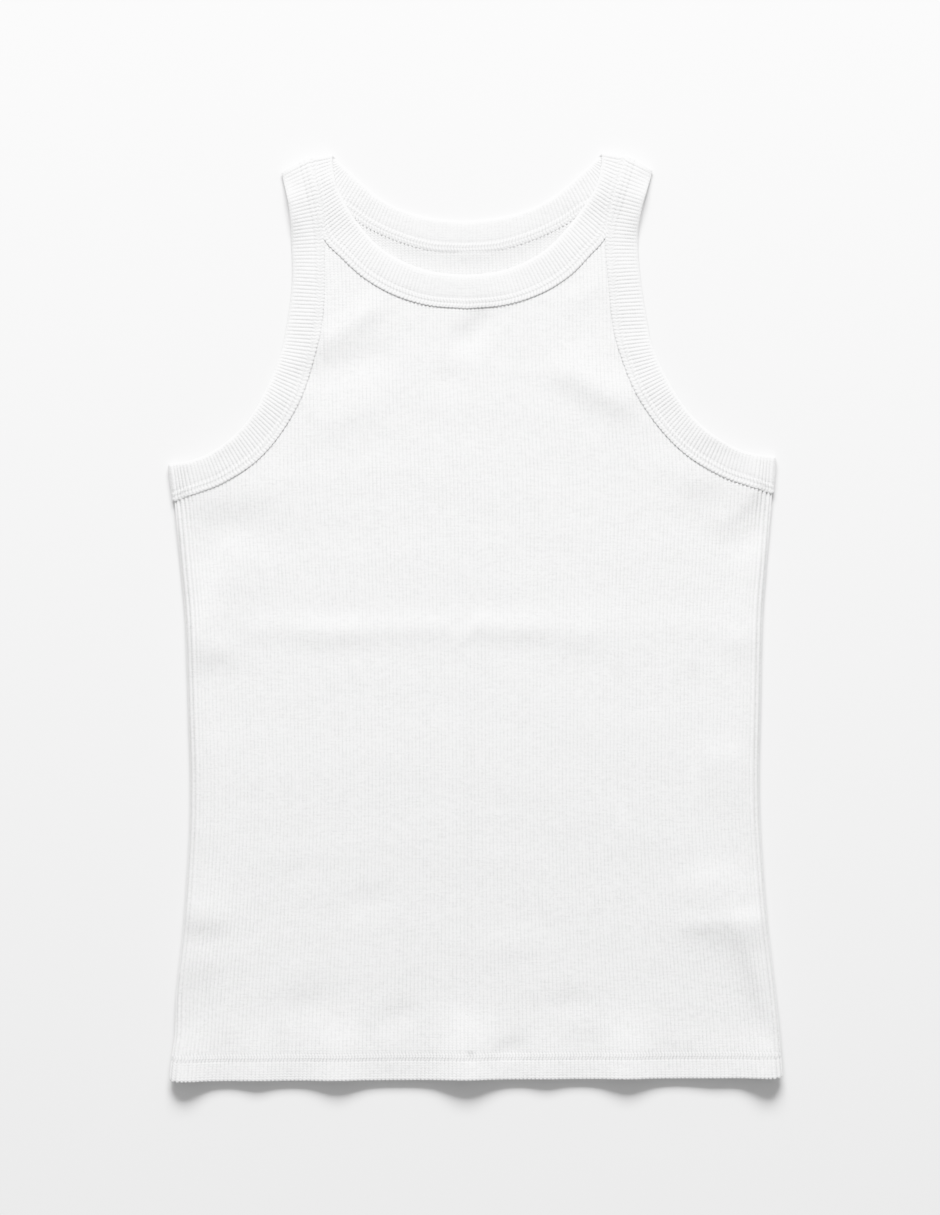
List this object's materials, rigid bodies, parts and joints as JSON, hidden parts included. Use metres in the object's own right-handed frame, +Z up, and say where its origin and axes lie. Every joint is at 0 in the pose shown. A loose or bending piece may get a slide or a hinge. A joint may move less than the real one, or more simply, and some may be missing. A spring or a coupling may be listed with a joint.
{
  "type": "tank top",
  "caption": "White rib-knit tank top laid flat, front up, with folded rib bands round the neck and armholes and a turned-up hem.",
  "frame": {"origin": "middle of the rectangle the shirt covers, on the surface it lies on", "axes": "+X across the shirt towards the side on the viewer's right when looking down at its front, +Y from hem to shoulders, +Z up from the surface through back panel then front panel"},
  "size_m": [0.3845, 0.582, 0.0128],
  "materials": {
    "panel_cloth": "fine cotton rib knit, matt, white",
    "band_cloth": "cotton rib knit folded double, matt, white"
  },
  "bodies": {
    "root": {"front_panel": "panel_cloth", "back_panel": "panel_cloth", "neckband": "band_cloth", "armhole_band_left": "band_cloth", "armhole_band_right": "band_cloth"}
  },
  "joints": []
}
